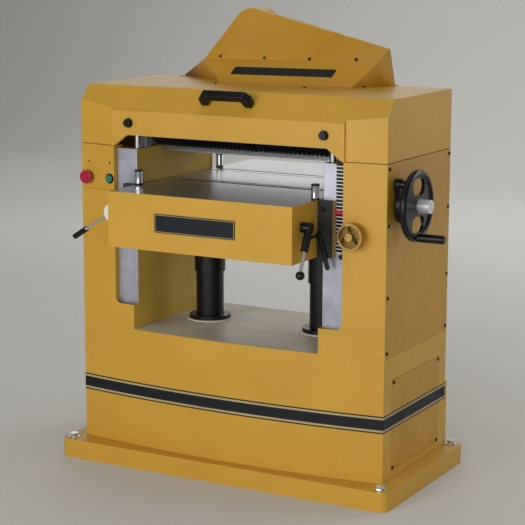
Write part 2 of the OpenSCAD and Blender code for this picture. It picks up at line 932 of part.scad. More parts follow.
module hood_shell() {
  color(yellow) difference() {
    union() {
      difference() {
        hood_block(0);
        hood_block(sheet);
      }
      for (x = hinge_xs) {
        for (s = [-1, 1])
          difference() {
            union() {
              rod_x(x + s * 20 - 9, x + s * 20 + 9, hinge_y, hinge_z, 6, 32);
              box([x + s * 20 - 9, rear_y - 1, hinge_z + 3], [x + s * 20 + 9, rear_y + 3, hinge_z + 45]);
              box([x + s * 20 - 9, rear_y + 1, hinge_z + 2], [x + s * 20 + 9, hinge_y, hinge_z + 6]);
            }
            rod_x(x - 40, x + 40, hinge_y, hinge_z, 3 + run, 32);
          }
      }
    }
    along_y(-300, -180) translate([0, -0.5]) polygon([
      [-panel_x + 8, hood_z0 - 2], [-notch_x, notch_z], [notch_x, notch_z], [panel_x - 8, hood_z0 - 2]
    ]);
    along_y(180, 300) polygon([
      [-panel_x + 8, hood_z0 - 50], [-notch_x, notch_z], [notch_x, notch_z], [panel_x - 8, hood_z0 - 50]
    ]);
    box([-170, 95, hood_z - 10], [240, 205, hood_z + 10]);
    for (x = [-lock_x, lock_x])
      rod_y(x, -300, -150, lock_z, 5 + run);
  }
}

module hood_hinges() {
  color(bright)
    for (x = hinge_xs) {
      difference() {
        union() {
          rod_x(x - 10.5, x + 10.5, hinge_y, hinge_z, 6, 32);
          box([x - 10.5, rear_y + gap, hinge_z - 55], [x + 10.5, rear_y + 3, hinge_z - 1]);
          box([x - 10.5, rear_y + gap, hinge_z - 6], [x + 10.5, hinge_y, hinge_z - 2]);
        }
        rod_x(x - 40, x + 40, hinge_y, hinge_z, 3 + run, 32);
      }
      rod_x(x - 31, x + 31, hinge_y, hinge_z, 3, 32);
    }
}

module hood_front_panel() {
  color(yellow) difference() {
    intersection() {
      along_y(panel_front, bow_at(panel_x) - gap) front_profile(slope_z + 20);
      under_slope(0);
    }
    for (x = [-lock_x, lock_x])
      rod_y(x, -300, -150, lock_z, 5 + run);
  }
}

// Lower half of the chute: a low box whose front slopes up from the hood
module chute_foot(t) {
  fold_z = 1189 - t;
  z0 = hood_z - (t > 0 ? 1 : 0);
  hull() {
    translate([0, 0, z0]) linear_extrude(1) polygon([
      [-184 + t, 66 + 1.7 * t], [254 - t, 66 + 1.7 * t], [284 - t, 213], [320 - t, rear_y - t],
      [-412 + 2 * t, rear_y - t]
    ]);
    translate([0, 0, fold_z - 1]) linear_extrude(1) polygon([
      [-300 + t, 171 + t], [275 - t, 171 + t], [312 - t, rear_y - t], [-327 + t, rear_y - t]
    ]);
  }
}

// Upper half: a funnel that rises to the round port
module chute_funnel(t) {
  hull() {
    translate([0, 0, 1186 - t]) linear_extrude(1) polygon([
      [-298 + t, 172 + t], [274 - t, 172 + t], [312 - t, rear_y - t], [-330 + t, rear_y - t]
    ]);
    along_y(205 + t, rear_y - t) translate([port_x, port_z]) circle(port_r - t, $fn = 32);
    along_y(212 + t, rear_y - t) polygon([[302 - t, 1200], [302 - t, 1234 - t], [280, 1234 - t]]);
  }
}

module dust_chute() {
  flange = 16;
  color(shade_yellow) difference() {
    union() {
      chute_foot(0);
      chute_funnel(0);
      translate([0, 0, hood_z]) linear_extrude(2.5)
        polygon([[-190, 66 - flange], [262, 66 - flange], [302, 213], [330, rear_y], [-425, rear_y]]);
    }
    chute_foot(2.5);
    chute_funnel(2.5);
    rod_y(port_x, 210, rear_y + 1, port_z, port_r - 4, 96);
  }
}

module dust_port() {
  length = 52;
  color(shade_yellow) difference() {
    rod_y(port_x, rear_y, rear_y + length, port_z, port_r, 96);
    rod_y(port_x, rear_y - 1, rear_y + length + 1, port_z, port_r - 2, 96);
  }
}

module hood_handle() {
  width = 25;
  color(black)
    translate([-2, -197, slope_z + 31]) rotate([45, 0, 0])
      translate([0, width / 2, 0]) rotate([90, 0, 0]) linear_extrude(width)
        polygon([
          [-83, 0.3], [-59, 0.3], [-53, 24], [53, 24], [59, 0.3], [83, 0.3], [83, 28], [67, 46],
          [-67, 46], [-83, 28]
        ]);
}

module hood_lock(x) {
  color(black) {
    rod_y(x, panel_front - 14, panel_front - 3, lock_z, 12, 6);
    rod_y(x, panel_front - 3, panel_front - 0.1, lock_z, 14);
    rod_y(x, panel_front - 4, panel_front + 25, lock_z, 5);
  }
}

module left_hood_lock() {
  hood_lock(-lock_x);
}

module right_hood_lock() {
  hood_lock(lock_x);
}

// ---- controls ----
module handwheel_bracket() {
  color(black) difference() {
    union() {
      rod_x(dial_x[0], dial_x[1], wheel_y, wheel_z, dial_r, 96);
      rod_x(dial_x[0], dial_x[1], knob_y, knob_z, 15);
      along_x(dial_x[0], dial_x[1]) polygon([
        [knob_y - 12, knob_z - 9], [wheel_y - 45, wheel_z + 24], [wheel_y, wheel_z + 50],
        [knob_y + 12, knob_z + 9]
      ]);
      rod_x(half_w + gap, dial_x[0] + 1, wheel_y, wheel_z, 32);
      rod_x(472, half_w + 1, wheel_y, wheel_z, 19);
    }
    rod_x(471, dial_x[1] + 1, wheel_y, wheel_z, 10 + run);
    rod_x(dial_x[1] - 10, dial_x[1] + 1, knob_y, knob_z, 4 + run);
  }
}

module dial_lock_knob() {
  color(black) {
    rod_x(dial_x[1] + 0.2, dial_x[1] + 14, knob_y, knob_z, 11);
    rod_x(dial_x[1] - 8, dial_x[1] + 1, knob_y, knob_z, 4);
  }
}

module handwheel() {
  shaft_r = 10;
  hole_r = 24;
  hole_y = 16;
  hole_z = 52;
  rim_r = 10;
  color(black) difference() {
    union() {
      translate([wheel_x - 11, wheel_y, wheel_z]) rotate([0, 90, 0]) rotate_extrude($fn = 120)
        union() {
          translate([wheel_r - rim_r, rim_r]) circle(rim_r, $fn = 32);
          polygon([[shaft_r + 4, 3], [wheel_r - rim_r, 6], [wheel_r - rim_r, 14], [shaft_r + 4, 18]]);
        }
      rod_x(wheel_x - 14, 592, wheel_y, wheel_z, 19);
      rod_x(wheel_x, 641, grip_y, grip_z, 5);
      rod_x(639.4, 642, grip_y, grip_z, 9);
      rod_x(wheel_x - 6, wheel_x + 6, grip_y, grip_z, 11);
    }
    for (side = [-1, 1])
      along_x(wheel_x - 20, wheel_x + 20) translate([wheel_y, wheel_z])
        open_loop([-hole_y, side * hole_z], hole_r, [hole_y, side * hole_z], hole_r);
    rod_x(wheel_x - 20, 593, wheel_y, wheel_z, shaft_r + 0.02);
  }
  color(bright) {
    rod_x(lift_shaft_x + miter_r - 1, 590, wheel_y, wheel_z, shaft_r);
    translate([lift_shaft_x + miter_r, wheel_y, wheel_z]) rotate([0, -90, 0])
      miter_gear(180 / miter_teeth);
  }
}

module crank_grip() {
  color(black) difference() {
    rod_x(wheel_x + 12, 639, grip_y, grip_z, 12);
    rod_x(wheel_x + 11, 640, grip_y, grip_z, 5 + run);
  }
}

module stop_button() {
  face = bow_at(stop_x);
  color("#a01030") {
    rod_y(stop_x, face - 12, face + 16, button_z, 11);
    rod_y(stop_x, face - 21, face - 10, button_z, 20);
  }
}

module start_button() {
  face = bow_at(start_x);
  color("#1f7a5c") rod_y(start_x, face - 7, face + 16, button_z, 11);
}

module feed_speed_wheel() {
  front = -250;
  back = -228;
  dish = 9;
  color(brass) {
    difference() {
      rod_y(speed_x, front, back, speed_z, speed_r, 96);
      rod_y(speed_x, front - 1, front + dish, speed_z, speed_r - 7, 96);
      for (a = [0, 120, 240])
        translate([speed_x, 0, speed_z]) rotate([0, a, 0])
          rod_y(0, front, back + 1, speed_r * 0.57, 8, 32);
    }
    rod_y(speed_x, front - 4, back, speed_z, 12);
    rod_y(speed_x, back - 1, -8, speed_z, 6);
  }
}

base_plate();
levelling_bolts();
lower_cabinet();
deck_plate();
columns();
pillar_covers();
control_panel();
side_covers();
access_panels();
cover_screws();
rear_cover();
bearing_blocks();
cutterhead_bearings();
roller_springs();
chip_breaker();
pressure_bar();
motor();
drive_belts();
gearbox();
feed_chain();
lift_chain();
column_sleeves();
way_scale();
handwheel_bracket();
hood_hinges();
hood_shell();
hood_front_panel();
dust_chute();
dust_port();
hood_handle();
left_hood_lock();
right_hood_lock();
table();
table_guides();
depth_pointer();
lift_tubes();
front_bed_roller();
rear_bed_roller();
edge_roller_front_left();
edge_roller_front_right();
edge_roller_rear_left();
edge_roller_rear_right();
bed_roller_lever();
table_lock_lever();
gib_lock_lever();
cutterhead();
motor_pulley();
infeed_roller();
outfeed_roller();
gearbox_sprocket();
kickback_fingers();
handwheel();
crank_grip();
lift_shaft();
left_lift_screw();
right_lift_screw();
stop_button();
start_button();
feed_speed_wheel();
dial_lock_knob();
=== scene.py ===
"""Looks of the wide thickness planer: rounded skins over the CAD nodes, trim, screws and paint.

Metres, in the frame of the CAD model: +X to the right, +Y to the outfeed side, +Z up.
"""
import json
import math

import bmesh
import bpy
from mathutils import Matrix, Vector

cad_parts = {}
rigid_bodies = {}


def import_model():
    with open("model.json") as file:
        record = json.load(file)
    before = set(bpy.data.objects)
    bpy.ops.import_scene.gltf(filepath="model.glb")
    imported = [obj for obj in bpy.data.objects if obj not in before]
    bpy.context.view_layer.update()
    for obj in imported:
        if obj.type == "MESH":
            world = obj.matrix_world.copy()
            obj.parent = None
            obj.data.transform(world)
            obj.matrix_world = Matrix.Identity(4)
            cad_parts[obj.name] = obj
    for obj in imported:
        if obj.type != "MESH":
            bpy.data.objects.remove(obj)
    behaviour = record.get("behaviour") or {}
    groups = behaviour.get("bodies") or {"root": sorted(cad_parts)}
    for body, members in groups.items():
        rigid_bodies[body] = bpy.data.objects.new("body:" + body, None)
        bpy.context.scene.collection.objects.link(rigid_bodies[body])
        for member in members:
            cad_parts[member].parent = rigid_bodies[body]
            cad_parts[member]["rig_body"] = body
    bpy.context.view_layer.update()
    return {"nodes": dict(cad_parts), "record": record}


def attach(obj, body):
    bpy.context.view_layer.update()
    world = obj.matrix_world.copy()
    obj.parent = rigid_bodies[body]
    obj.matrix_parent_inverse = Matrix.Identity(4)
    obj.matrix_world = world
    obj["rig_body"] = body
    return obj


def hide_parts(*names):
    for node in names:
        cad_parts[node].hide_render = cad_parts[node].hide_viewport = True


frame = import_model()
MM = 0.001

# Edge rounding of each node: radius and shortest rounded edge in mm, and number of steps
ROUNDED = {
    "base_plate": (2.5, 6, 3), "lower_cabinet": (1.2, 30, 2), "pillar_covers": (1.0, 25, 2),
    "control_panel": (0.8, 25, 2), "side_covers": (0.8, 25, 2), "access_panels": (0.6, 25, 2),
    "rear_cover": (0.8, 15, 2), "deck_plate": (0.6, 25, 1), "columns": (1.5, 8, 2),
    "hood_shell": (1.3, 25, 3), "hood_front_panel": (1.2, 20, 2),
    "hood_handle": (4.5, 3, 4), "table": (1.5, 12, 3), "table_guides": (1.0, 10, 2),
    "handwheel_bracket": (1.5, 2, 2), "column_sleeves": (1.5, 2, 2), "lift_tubes": (1.5, 2, 2),
    "levelling_bolts": (0.8, 2, 2), "cover_screws": (0.4, 0.4, 1), "bearing_blocks": (1.0, 8, 2),
    "cutterhead": (0.5, 20, 1), "feed_speed_wheel": (1.2, 1, 3), "gearbox": (2.5, 20, 3),
    "motor": (1.0, 12, 2), "chip_breaker": (0.8, 10, 2), "pressure_bar": (0.8, 10, 2),
    "handwheel": (1.5, 1.5, 2), "crank_grip": (3.0, 1, 4), "dial_lock_knob": (1.6, 0.5, 3),
    "stop_button": (2.6, 1, 4), "start_button": (1.2, 0.5, 3), "table_lock_lever": (1.2, 1.2, 2),
    "gib_lock_lever": (1.0, 0.3, 2), "bed_roller_lever": (0.8, 0.8, 2),
    "left_hood_lock": (0.8, 2, 2), "right_hood_lock": (0.8, 2, 2), "dust_port": (0.5, 1, 2),
    "edge_roller_front_left": (0.8, 0.8, 2), "edge_roller_front_right": (0.8, 0.8, 2),
    "edge_roller_rear_left": (0.8, 0.8, 2), "edge_roller_rear_right": (0.8, 0.8, 2),
    "hood_hinges": (0.4, 2, 1), "depth_pointer": (0.5, 3, 1), "way_scale": (0.2, 10, 1),
}

CAB_HALF_W = 0.5                # cabinet
CAB_FRONT_Y = -0.206
CAB_BOW = 0.0365
CAB_REAR_Y = 0.229
BAND_STRIPES = [                # trim band, bottom to top: lowest and highest edge, colour
    (0.2020, 0.2060, "pinstripe"), (0.2060, 0.2118, "cream_line"), (0.2118, 0.2422, "navy_film"),
    (0.2422, 0.2480, "cream_line"), (0.2480, 0.2520, "pinstripe"),
]
TABLE_Z = 0.846
APRON_Y = -0.371
BED_YS = (-0.045, 0.195)         # bed rollers
HOOD_Z = 1.1284
HUB_Y, HUB_Z = -0.12, 0.836     # handwheel shaft
DIAL_X, DIAL_Z = 0.408, 0.755   # feed speed wheel
SLEEVE_X, SLEEVE_Y = 0.195, 0.025
BUTTON_Z = 0.857
LADDER_X = (0.3465, 0.3588)     # printed ladder beside the scale, clear of the table guides
LADDER_Z = (0.700, 0.948)
WAY_Y = -0.205                  # front of the ways
DECK_Z = 0.413                  # deck the sleeves stand on


# ---- node materials ----
def node(tree, kind, inputs=None, **settings):
    """Adds a node. Inputs are values, or output sockets to link from."""
    made = tree.nodes.new(kind)
    for key, value in settings.items():
        setattr(made, key, value)
    for key, value in (inputs or {}).items():
        if isinstance(value, bpy.types.NodeSocket):
            tree.links.new(value, made.inputs[key])
        else:
            made.inputs[key].default_value = value
    return made


def place(tree, stretch=(1, 1, 1)):
    """The point on the piece in metres, stretched along each axis."""
    point = node(tree, "ShaderNodeTexCoord").outputs["Object"]
    return node(tree, "ShaderNodeMapping", {"Vector": point, "Scale": stretch}).outputs[0]


def noise(tree, where, scale, detail=3.0):
    return node(tree, "ShaderNodeTexNoise",
                {"Vector": where, "Scale": scale, "Detail": detail}).outputs[0]


def span(tree, value, low, high, to_low, to_high):
    return node(tree, "ShaderNodeMapRange", {
        "Value": value, "From Min": low, "From Max": high, "To Min": to_low, "To Max": to_high,
    }).outputs[0]


def mixed(tree, share, first, second):
    return node(tree, "ShaderNodeMixRGB",
                {"Fac": share, "Color1": first, "Color2": second}).outputs[0]


def times(tree, first, second):
    return node(tree, "ShaderNodeMath", {0: first, 1: second}, operation="MULTIPLY").outputs[0]


def edge_mask(tree, radius):
    """1 on outside and inside edges, 0 on open faces."""
    soft = node(tree, "ShaderNodeBevel", {"Radius": radius}, samples=4).outputs[0]
    hard = node(tree, "ShaderNodeNewGeometry").outputs["True Normal"]
    same = node(tree, "ShaderNodeVectorMath", {0: soft, 1: hard},
                operation="DOT_PRODUCT").outputs["Value"]
    return span(tree, same, 0.95, 0.80, 0.0, 1.0)


def colour(hex_code):
    """A linear colour from sRGB hex digits."""
    parts = [int(hex_code[i:i + 2], 16) / 255 for i in (0, 2, 4)]
    return tuple(p / 12.92 if p <= 0.04045 else ((p + 0.055) / 1.055) ** 2.4 for p in parts) + (1,)


def scaled(rgb, share):
    return tuple(part * share for part in rgb[:3]) + (1,)


def finish_material(name, base, worn, roughness, metallic=0.0, grain=(350, 0.00012),
                    stretch=(1, 1, 1), blotch=(5, 0.10), wear=0.35, coat=0.0):
    """A material with colour drift, fine relief, uneven sheen and worn edges.

    grain is the relief's scale and height, blotch the colour drift's scale and strength.
    """
    made = bpy.data.materials.new(name)
    made.use_nodes = True
    tree = made.node_tree
    shader = tree.nodes["Principled BSDF"]
    point = place(tree)
    drift = span(tree, noise(tree, point, blotch[0], 4), 0.3, 0.7, 0.0, 1.0)
    body = mixed(tree, drift, scaled(base, 1 - blotch[1]), scaled(base, 1 + blotch[1]))
    chips = span(tree, noise(tree, point, 130, 5), 0.48, 0.62, 0.0, wear)
    body = mixed(tree, times(tree, edge_mask(tree, 0.0016), chips), body, worn)
    sheen = span(tree, noise(tree, place(tree, stretch), 24, 5), 0.25, 0.75,
                 roughness * 0.82, min(1.0, roughness * 1.2))
    relief = node(tree, "ShaderNodeBump", {
        "Height": noise(tree, place(tree, stretch), grain[0], 2),
        "Distance": grain[1], "Strength": 0.6,
    }).outputs[0]
    tree.links.new(body, shader.inputs["Base Color"])
    tree.links.new(sheen, shader.inputs["Roughness"])
    tree.links.new(relief, shader.inputs["Normal"])
    shader.inputs["Metallic"].default_value = metallic
    shader.inputs["Specular IOR Level"].default_value = 0.35
    shader.inputs["Coat Weight"].default_value = coat
    shader.inputs["Coat Roughness"].default_value = 0.25
    return made


def scale_material():
    """White graduated strip: a ladder of black blocks on its left part, plain white to the right.
    """
    made = finish_material("graduated_strip", colour("E8E8E4"), colour("B0B0AC"), 0.4)
    tree = made.node_tree
    shader = tree.nodes["Principled BSDF"]
    body = shader.inputs["Base Color"].links[0].from_socket
    axes = node(tree, "ShaderNodeSeparateXYZ",
                {"Vector": node(tree, "ShaderNodeTexCoord").outputs["Object"]})
    steps = node(tree, "ShaderNodeMath", {0: times(tree, axes.outputs["Z"], 100.0)},
                 operation="FRACT").outputs[0]
    block = node(tree, "ShaderNodeMath", {0: steps, 1: 0.24}, operation="GREATER_THAN").outputs[0]
    left = node(tree, "ShaderNodeMath", {0: axes.outputs["X"], 1: 0.3695},
                operation="LESS_THAN").outputs[0]
    tree.links.new(mixed(tree, times(tree, block, left), body, colour("0C0C10")),
                   shader.inputs["Base Color"])
    return made


STEEL_EDGE = colour("C8CACC")
PRIMER = colour("6B5A36")
MATERIALS = {
    "cabinet_paint": finish_material("mustard_enamel", colour("CE9F38"), PRIMER, 0.42,
                                    blotch=(5, 0.045), wear=0.15, coat=0.06),
    # side_paint is the cabinet's mustard enamel made darker: painted shade for the side-facing
    # parts and the chute, which the lamps light less than the fronts
    "side_paint": finish_material("mustard_enamel_painted_shade", colour("C28F26"), PRIMER, 0.42,
                                  blotch=(5, 0.045), wear=0.15, coat=0.06),
    "cream_paint": finish_material("floor_enamel", colour("C9C6B6"), colour("8D8B80"), 0.45,
                                   blotch=(9, 0.14)),
    "black_paint": finish_material("black_enamel", colour("0B0B10"), colour("55565A"), 0.34,
                                   wear=0.5),
    "motor_paint": finish_material("grey_enamel", colour("3C4A55"), colour("6D7378"), 0.42),
    "gearbox_paint": finish_material("green_casting", colour("4A5A4E"), colour("77807A"), 0.55,
                                     grain=(160, 0.0005)),
    "machined_iron": finish_material("machined_iron", colour("97979D"), STEEL_EDGE, 0.5, 0.35,
                                     grain=(500, 0.00006)),
    "guide_iron": finish_material("oiled_iron", colour("39393A"), colour("6B5334"), 0.5, 0.5,
                                  grain=(240, 0.0003), blotch=(30, 0.3)),
    "ground_steel": finish_material("ground_steel", colour("AFAFB1"), STEEL_EDGE, 0.30, 0.95,
                                    grain=(30, 0.00008), stretch=(30, 1.2, 30), blotch=(7, 0.08)),
    "chrome": finish_material("bright_chrome", colour("DDE0E6"), STEEL_EDGE, 0.12, 1.0,
                              grain=(300, 0.00002), blotch=(20, 0.04)),
    "black_plastic": finish_material("moulded_black", colour("08080C"), colour("3A3B40"), 0.28,
                                     grain=(700, 0.0001)),
    "red_plastic": finish_material("moulded_red", colour("B01238"), colour("7A0C24"), 0.22,
                                   coat=0.5),
    "green_plastic": finish_material("moulded_green", colour("1E8064"), colour("125240"), 0.25,
                                     coat=0.5),
    "pointer_red": finish_material("pointer_red", colour("D21C3A"), colour("7A1020"), 0.35),
    "scale_plate": scale_material(),
    "belt_rubber": finish_material("belt_rubber", colour("141414"), colour("2A2A2A"), 0.8,
                                   grain=(600, 0.0003)),
    "chain_steel": finish_material("oiled_chain", colour("4A4A4C"), STEEL_EDGE, 0.35, 0.9),
    "brass": finish_material("brass", colour("B0935C"), colour("EAD9A8"), 0.26, 1.0,
                             grain=(220, 0.00008), blotch=(40, 0.2), wear=0.6),
    "way_steel": finish_material("way_steel", colour("B4B5C2"), STEEL_EDGE, 0.36, 0.75,
                                 grain=(60, 0.0001), stretch=(6, 6, 1), blotch=(14, 0.22)),
    "throat_paint": finish_material("olive_enamel", colour("C4A040"), PRIMER, 0.5,
                                    blotch=(6, 0.12)),
    "satin_chrome": finish_material("satin_chrome", colour("E4E6EA"), STEEL_EDGE, 0.38, 0.55,
                                    blotch=(20, 0.06)),
    # Brass made darker for the feed speed wheel's recess and dish: painted shade in the hollow
    "brass_painted_shade": finish_material("brass_painted_shade", colour("7C6034"), colour("C8AE74"), 0.34, 0.9,
                                  grain=(220, 0.0001), blotch=(40, 0.25), wear=0.6),
    "pinstripe": finish_material("dark_pinstripe", colour("2C2208"), colour("1A1406"), 0.4),
    "cream_line": finish_material("cream_line", colour("B6A273"), colour("8E8060"), 0.45),
    "navy_film": finish_material("navy_film", colour("060B16"), colour("0E1624"), 0.55),
    "white_plate": finish_material("white_enamel", colour("E4E4E2"), colour("9A9A98"), 0.4),
    "rubber": finish_material("soft_rubber", colour("17171A"), colour("2C2C30"), 0.7),
}


# ---- skins over the CAD nodes ----
SLOT_OF = {row["node"]: row["material_slot"] for row in frame["record"]["subparts"]}
SHARP = math.radians(32)


def clean_mesh(source, name):
    """The node's mesh with its split corners joined and its flat faces whole."""
    copy = source.data.copy()
    for attribute in [a for a in copy.attributes if a.name == "custom_normal"]:
        copy.attributes.remove(attribute)
    work = bmesh.new()
    work.from_mesh(copy)
    bmesh.ops.remove_doubles(work, verts=work.verts, dist=1e-6)
    bmesh.ops.dissolve_limit(work, angle_limit=math.radians(0.4), verts=work.verts,
                             edges=work.edges)
    made = bpy.data.meshes.new(name)
    work.to_mesh(made)
    work.free()
    return made


def weigh_edges(mesh, shortest):
    """Marks the sharp edges that get rounded."""
    work = bmesh.new()
    work.from_mesh(mesh)
    weight = work.edges.layers.float.new("bevel_weight_edge")
    for edge in work.edges:
        sharp = edge.is_manifold and edge.calc_face_angle(0.0) > SHARP
        edge[weight] = 1.0 if sharp and edge.calc_length() >= shortest else 0.0
    work.to_mesh(mesh)
    work.free()


def show(mesh, name, body, slot):
    """A new piece of a body, shaded smooth across its shallow edges."""
    piece = bpy.data.objects.new(name, mesh)
    bpy.context.scene.collection.objects.link(piece)
    mesh.materials.clear()
    mesh.materials.append(MATERIALS[slot])
    for face in mesh.polygons:
        face.use_smooth = True
        face.material_index = 0
    mesh.set_sharp_from_angle(angle=SHARP)
    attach(piece, body)
    return piece


def round_edges(piece, radius, steps):
    bevel = piece.modifiers.new("rounded", "BEVEL")
    bevel.width = radius
    bevel.segments = steps
    bevel.limit_method = "WEIGHT"
    bevel.use_clamp_overlap = True
    bevel.harden_normals = True


def skin(name):
    """Shows a CAD node as a copy with rounded edges."""
    source = frame["nodes"][name]
    radius, shortest, steps = ROUNDED[name]
    mesh = clean_mesh(source, name + "_skin")
    weigh_edges(mesh, shortest * MM)
    piece = show(mesh, name + "_skin", source["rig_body"], SLOT_OF[name])
    round_edges(piece, radius * MM, steps)
    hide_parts(name)
    return piece


def repaint(piece, slot, chosen):
    """Gives the faces for which chosen(centre, normal) holds another material."""
    index = len(piece.data.materials)
    piece.data.materials.append(MATERIALS[slot])
    for face in piece.data.polygons:
        if chosen(face.center, face.normal):
            face.material_index = index


def dress_cad():
    """Skins for the nodes with rounded edges, and materials for the rest."""
    skins = {name: skin(name) for name in ROUNDED}
    for name, source in frame["nodes"].items():
        source.data.materials.clear()
        source.data.materials.append(MATERIALS[SLOT_OF[name]])
    repaint(skins["table"], "cabinet_paint", lambda c, n: not (
        n.z > 0.9 and c.z > TABLE_Z - 0.001
        or abs(c.x) < 0.292 and c.z > 0.825 and c.z < TABLE_Z - 0.0005 and min(
            abs(c.y - BED_YS[0]), abs(c.y - BED_YS[1])) < 0.022))
    repaint(skins["columns"], "way_steel", lambda c, n: n.y < -0.9 and c.y < -0.204)
    repaint(skins["columns"], "throat_paint", lambda c, n: abs(n.x) > 0.9 and abs(c.x) < 0.308)
    repaint(skins["columns"], "ground_steel", lambda c, n: c.z > 0.949)
    hub = Vector((0, HUB_Y, HUB_Z))
    repaint(skins["handwheel"], "satin_chrome",
            lambda c, n: c.x > 0.553 and (c - hub).yz.length < 0.0195 or c.x < 0.530)
    # The wheel's recess and dish take the darker brass: painted shade in the hollow
    dial = Vector((DIAL_X, 0, DIAL_Z))
    repaint(skins["feed_speed_wheel"], "brass_painted_shade",
            lambda c, n: (c - dial).xz.length < 0.0305 and c.y > -0.248)
    repaint(skins["table_lock_lever"], "chrome",
            lambda c, n: 0.674 < c.z < 0.722 and c.y < -0.345)
    repaint(skins["bed_roller_lever"], "black_plastic", lambda c, n: c.x < -0.391)
    for corner in ("front_left", "front_right", "rear_left", "rear_right"):
        repaint(skins["edge_roller_" + corner], "black_paint",
                lambda c, n: c.z > TABLE_Z + 0.0395 or c.z < TABLE_Z + 0.0055)
    repaint(skins["table_guides"], "throat_paint", lambda c, n: n.x > 0.9 and c.x > 0.34)
    return skins


# ---- shapes built here ----
def mesh_from(name, vertices, faces):
    mesh = bpy.data.meshes.new(name)
    mesh.from_pydata(vertices, [], faces)
    mesh.validate()
    return mesh


def prism(name, outline, depth, place_at):
    """A closed plate: outline in its own x and y, depth along its own z, moved by a matrix."""
    count = len(outline)
    low = [place_at @ Vector((x, y, 0)) for x, y in outline]
    high = [place_at @ Vector((x, y, depth)) for x, y in outline]
    sides = [(i, (i + 1) % count, (i + 1) % count + count, i + count) for i in range(count)]
    faces = [tuple(reversed(range(count))), tuple(range(count, 2 * count))] + sides
    return mesh_from(name, low + high, faces)


def rounded_outline(width, height, corner, steps=6):
    points = []
    for number, (sx, sy) in enumerate([(1, 1), (-1, 1), (-1, -1), (1, -1)]):
        for step in range(steps + 1):
            angle = math.radians(90 * (number + step / steps))
            points.append((sx * (width / 2 - corner) + corner * math.cos(angle),
                           sy * (height / 2 - corner) + corner * math.sin(angle)))
    return points


def turned(name, profile, place_at, steps=40):
    """A closed turned shape: profile of (radius, height) pairs round the matrix's z axis."""
    vertices, faces = [], []
    for radius, height in profile:
        for step in range(steps):
            angle = 2 * math.pi * step / steps
            vertices.append(place_at @ Vector((radius * math.cos(angle),
                                               radius * math.sin(angle), height)))
    for ring in range(len(profile) - 1):
        for step in range(steps):
            after = (step + 1) % steps
            faces.append((ring * steps + step, ring * steps + after,
                          (ring + 1) * steps + after, (ring + 1) * steps + step))
    faces.append(tuple(reversed(range(steps))))
    faces.append(tuple(range((len(profile) - 1) * steps, len(profile) * steps)))
    return mesh_from(name, vertices, faces)


def ring(name, inner, outer, depth, place_at, steps=48):
    """A washer with a chamfered outer edge, on the matrix's z axis."""
    chamfer = min(depth, outer - inner) * 0.35
    profile = [(inner, 0), (outer, 0), (outer, depth - chamfer), (outer - chamfer, depth),
               (inner, depth)]
    vertices, faces = [], []
    for radius, height in profile:
        for step in range(steps):
            angle = 2 * math.pi * step / steps
            vertices.append(place_at @ Vector((radius * math.cos(angle),
                                               radius * math.sin(angle), height)))
    for band in range(len(profile)):
        other = (band + 1) % len(profile)
        for step in range(steps):
            after = (step + 1) % steps
            faces.append((band * steps + step, band * steps + after,
                          other * steps + after, other * steps + step))
    return mesh_from(name, vertices, faces)


def facing(point, normal, up=(0, 0, 1)):
    """A matrix at a point whose z axis is the normal, with its y axis towards up."""
    z = Vector(normal).normalized()
    x = Vector(up).cross(z).normalized()
    y = z.cross(x)
    turn = Matrix((x, y, z)).transposed().to_4x4()
    return Matrix.Translation(Vector(point)) @ turn


def bow_y(x, out=0.0):
    """Y of the bowed front at x, moved out by a little."""
    radius = (CAB_HALF_W ** 2 + CAB_BOW ** 2) / (2 * CAB_BOW)
    centre = CAB_FRONT_Y - CAB_BOW + radius
    return centre - math.sqrt((radius + out) ** 2 - x * x)


def band_path(out, steps=48):
    """Points round the sides and the front of the cabinet, left rear to right rear."""
    x = CAB_HALF_W + out
    arc = [(x * (2 * i / steps - 1), bow_y(x * (2 * i / steps - 1), out)) for i in range(steps + 1)]
    return [(-x, CAB_REAR_Y - 0.001)] + arc + [(x, CAB_REAR_Y - 0.001)]


def stripe(name, low, high, out):
    """One stripe of the trim band as a thin closed strip."""
    inner, outer = band_path(0.00005), band_path(out)
    count = len(inner)
    corners = [(inner, low), (outer, low), (outer, high), (inner, high)]
    vertices = [(x, y, z) for path, z in corners for x, y in path]
    faces = []
    for side in range(4):
        other = (side + 1) % 4
        for i in range(count - 1):
            faces.append((side * count + i, side * count + i + 1,
                          other * count + i + 1, other * count + i))
    faces.append((0, 3 * count, 2 * count, count))
    faces.append((count - 1, 2 * count - 1, 3 * count - 1, 4 * count - 1))
    mesh = mesh_from(name, vertices, faces)
    return mesh


def outward(mesh):
    """Turns every face of a closed mesh to look out."""
    work = bmesh.new()
    work.from_mesh(mesh)
    bmesh.ops.recalc_face_normals(work, faces=work.faces)
    work.to_mesh(mesh)
    work.free()
    return mesh


def add_band():
    for number, (low, high, slot) in enumerate(BAND_STRIPES):
        name = f"band_stripe_{number}"
        show(outward(stripe(name, low, high, 0.0003)), name, "frame", slot)


def add_plate(name, body, at, size, slots, border):
    """A blank plate: a dark field inside a thin light line, on a rounded backing."""
    width, height, thick = size
    back = prism(name, rounded_outline(width, height, 0.003), thick, at)
    show(outward(back), name, body, slots[0])
    lift = Matrix.Translation(at.to_3x3() @ Vector((0, 0, thick * 0.5)))
    line = prism(name + "_line", rounded_outline(width - 2 * border, height - 2 * border, 0.002),
                 thick * 0.62, lift @ at)
    show(outward(line), name + "_line", body, slots[1])
    inset = 2 * border + 0.003
    field = prism(name + "_field", rounded_outline(width - inset, height - inset, 0.0016),
                  thick * 0.7, lift @ at)
    show(outward(field), name + "_field", body, slots[0])


SCREW_HEAD = [(0.0052, 0.0), (0.0055, 0.0006), (0.0052, 0.0018), (0.0042, 0.0027),
              (0.0026, 0.0032), (0.0024, 0.0032), (0.0022, 0.0016), (0.0004, 0.0015)]


